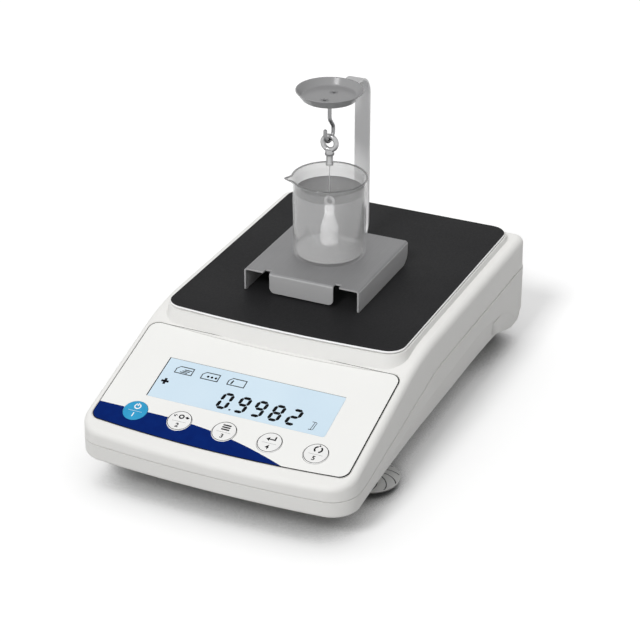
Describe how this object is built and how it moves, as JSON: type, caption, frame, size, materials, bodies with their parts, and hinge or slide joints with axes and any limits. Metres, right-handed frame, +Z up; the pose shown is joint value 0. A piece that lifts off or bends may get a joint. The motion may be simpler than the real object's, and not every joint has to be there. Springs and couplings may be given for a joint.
{
  "type": "benchtop density meter",
  "caption": "Precision balance with a liquid density kit: sloped key panel, plate with bridge and beaker, gantry with dish, hook and hanging glass sinker.",
  "frame": {"origin": "on the floor under the middle of the case", "axes": "+X to the right, +Y to the back, +Z up; the control panel faces -Y"},
  "size_m": [0.204, 0.3404, 0.2359],
  "materials": {
    "upper_case": "fine satin moulding",
    "lower_case": "fine satin moulding",
    "panel_overlay": "printed film",
    "display_window": "clear window",
    "display_module": "pale blue display glass",
    "display_board": "circuit board",
    "key_switches": "small switches",
    "key_power": "sky blue key",
    "key_zero": "white key",
    "key_mode": "white key",
    "key_enter": "white key",
    "key_print": "white key",
    "main_board": "circuit board",
    "power_inlet": "black inlet",
    "data_socket": "plated shell",
    "case_screws": "steel screws",
    "base_plate": "charcoal satin coat",
    "plate_pads": "rubber",
    "bridge": "grey satin metal",
    "beaker": "clear glass",
    "cell_base": "cast aluminium",
    "cell_block": "milled aluminium",
    "guide_leaves": "spring leaf",
    "magnet_pot": "magnet pot",
    "spindle": "turned steel",
    "gantry": "grey satin strip",
    "gantry_bush": "turned bush",
    "bush_screw": "countersunk screw",
    "weighing_dish": "turned dish",
    "dish_screws": "dark screws",
    "hook": "bent wire",
    "eye_ring": "turned ring",
    "hanger_collar": "dark collar",
    "hanger_ferrule": "clear sleeve",
    "hanger_wire": "thin wire",
    "sinker": "glass plummet",
    "sinker_band": "white band",
    "levelling_wheel_left": "clear grey moulding",
    "levelling_wheel_right": "clear grey moulding",
    "levelling_stud_left": "threaded stud",
    "levelling_stud_right": "threaded stud",
    "levelling_pad_left": "rubber",
    "levelling_pad_right": "rubber",
    "foot_inserts": "brass inserts",
    "rear_feet": "rubber"
  },
  "bodies": {
    "case": {"upper_case": "upper_case", "lower_case": "lower_case", "panel_overlay": "panel_overlay", "display_window": "display_window", "display_module": "display_module", "display_board": "display_board", "key_switches": "key_switches", "main_board": "main_board", "power_inlet": "power_inlet", "data_socket": "data_socket", "case_screws": "case_screws", "base_plate": "base_plate", "plate_pads": "plate_pads", "bridge": "bridge", "cell_base": "cell_base", "cell_block": "cell_block", "guide_leaves": "guide_leaves", "magnet_pot": "magnet_pot", "foot_inserts": "foot_inserts", "rear_feet": "rear_feet"},
    "key_power": {"key_power": "key_power"},
    "key_zero": {"key_zero": "key_zero"},
    "key_mode": {"key_mode": "key_mode"},
    "key_enter": {"key_enter": "key_enter"},
    "key_print": {"key_print": "key_print"},
    "spindle": {"spindle": "spindle"},
    "gantry": {"gantry": "gantry", "gantry_bush": "gantry_bush", "bush_screw": "bush_screw", "weighing_dish": "weighing_dish", "dish_screws": "dish_screws", "hook": "hook"},
    "hanger": {"eye_ring": "eye_ring", "hanger_collar": "hanger_collar", "hanger_ferrule": "hanger_ferrule", "hanger_wire": "hanger_wire"},
    "sinker": {"sinker": "sinker", "sinker_band": "sinker_band"},
    "beaker": {"beaker": "beaker"},
    "foot_pad_left": {"levelling_pad_left": "levelling_pad_left"},
    "foot_wheel_left": {"levelling_wheel_left": "levelling_wheel_left", "levelling_stud_left": "levelling_stud_left"},
    "foot_pad_right": {"levelling_pad_right": "levelling_pad_right"},
    "foot_wheel_right": {"levelling_wheel_right": "levelling_wheel_right", "levelling_stud_right": "levelling_stud_right"}
  },
  "joints": [
    {"name": "key_power_press", "type": "slide", "parent": "case", "child": "key_power", "axis": [0, 0.2999, -0.954], "range_m": [0, 0.0005], "stiffness_N_per_m": 2000, "springref_m": -0.0005},
    {"name": "key_zero_press", "type": "slide", "parent": "case", "child": "key_zero", "axis": [0, 0.2999, -0.954], "range_m": [0, 0.0005], "stiffness_N_per_m": 2000, "springref_m": -0.0005},
    {"name": "key_mode_press", "type": "slide", "parent": "case", "child": "key_mode", "axis": [0, 0.2999, -0.954], "range_m": [0, 0.0005], "stiffness_N_per_m": 2000, "springref_m": -0.0005},
    {"name": "key_enter_press", "type": "slide", "parent": "case", "child": "key_enter", "axis": [0, 0.2999, -0.954], "range_m": [0, 0.0005], "stiffness_N_per_m": 2000, "springref_m": -0.0005},
    {"name": "key_print_press", "type": "slide", "parent": "case", "child": "key_print", "axis": [0, 0.2999, -0.954], "range_m": [0, 0.0005], "stiffness_N_per_m": 2000, "springref_m": -0.0005},
    {"name": "weigh_travel", "type": "slide", "parent": "case", "child": "spindle", "axis": [0, 0, -1], "range_m": [0, 0.0004], "stiffness_N_per_m": 20000, "springref_m": -0.0002},
    {"name": "gantry_lift", "type": "slide", "parent": "spindle", "child": "gantry", "axis": [0, 0, 1], "range_m": [0, 0.007]},
    {"name": "hanger_swing", "type": "hinge", "parent": "gantry", "child": "hanger", "pos_m": [-0.0033, 0.03555, 0.1974], "axis": [0, 1, 0], "range_deg": [-7, 7]},
    {"name": "sinker_nod", "type": "hinge", "parent": "hanger", "child": "sinker", "pos_m": [-0.0033, 0.03555, 0.15365], "axis": [1, 0, 0], "range_deg": [-8, 8]},
    {"name": "beaker_shift", "type": "slide", "parent": "case", "child": "beaker", "axis": [0, 1, 0], "range_m": [-0.005, 0.005]},
    {"name": "foot_height_left", "type": "slide", "parent": "case", "child": "foot_pad_left", "axis": [0, 0, 1], "range_m": [-0.003, 0.003]},
    {"name": "foot_turn_left", "type": "hinge", "parent": "foot_pad_left", "child": "foot_wheel_left", "pos_m": [-0.0793, -0.07845, 0.006], "axis": [0, 0, 1], "range_deg": [-865.2, 865.2]},
    {"name": "foot_height_right", "type": "slide", "parent": "case", "child": "foot_pad_right", "axis": [0, 0, 1], "range_m": [-0.003, 0.003]},
    {"name": "foot_turn_right", "type": "hinge", "parent": "foot_pad_right", "child": "foot_wheel_right", "pos_m": [0.0793, -0.07845, 0.006], "axis": [0, 0, 1], "range_deg": [-865.2, 865.2]}
  ],
  "couplings": [
    {"joint": "foot_turn_left", "follows": "foot_height_left", "rad_per_m": 5026.5},
    {"joint": "foot_turn_right", "follows": "foot_height_right", "rad_per_m": 5026.5}
  ]
}
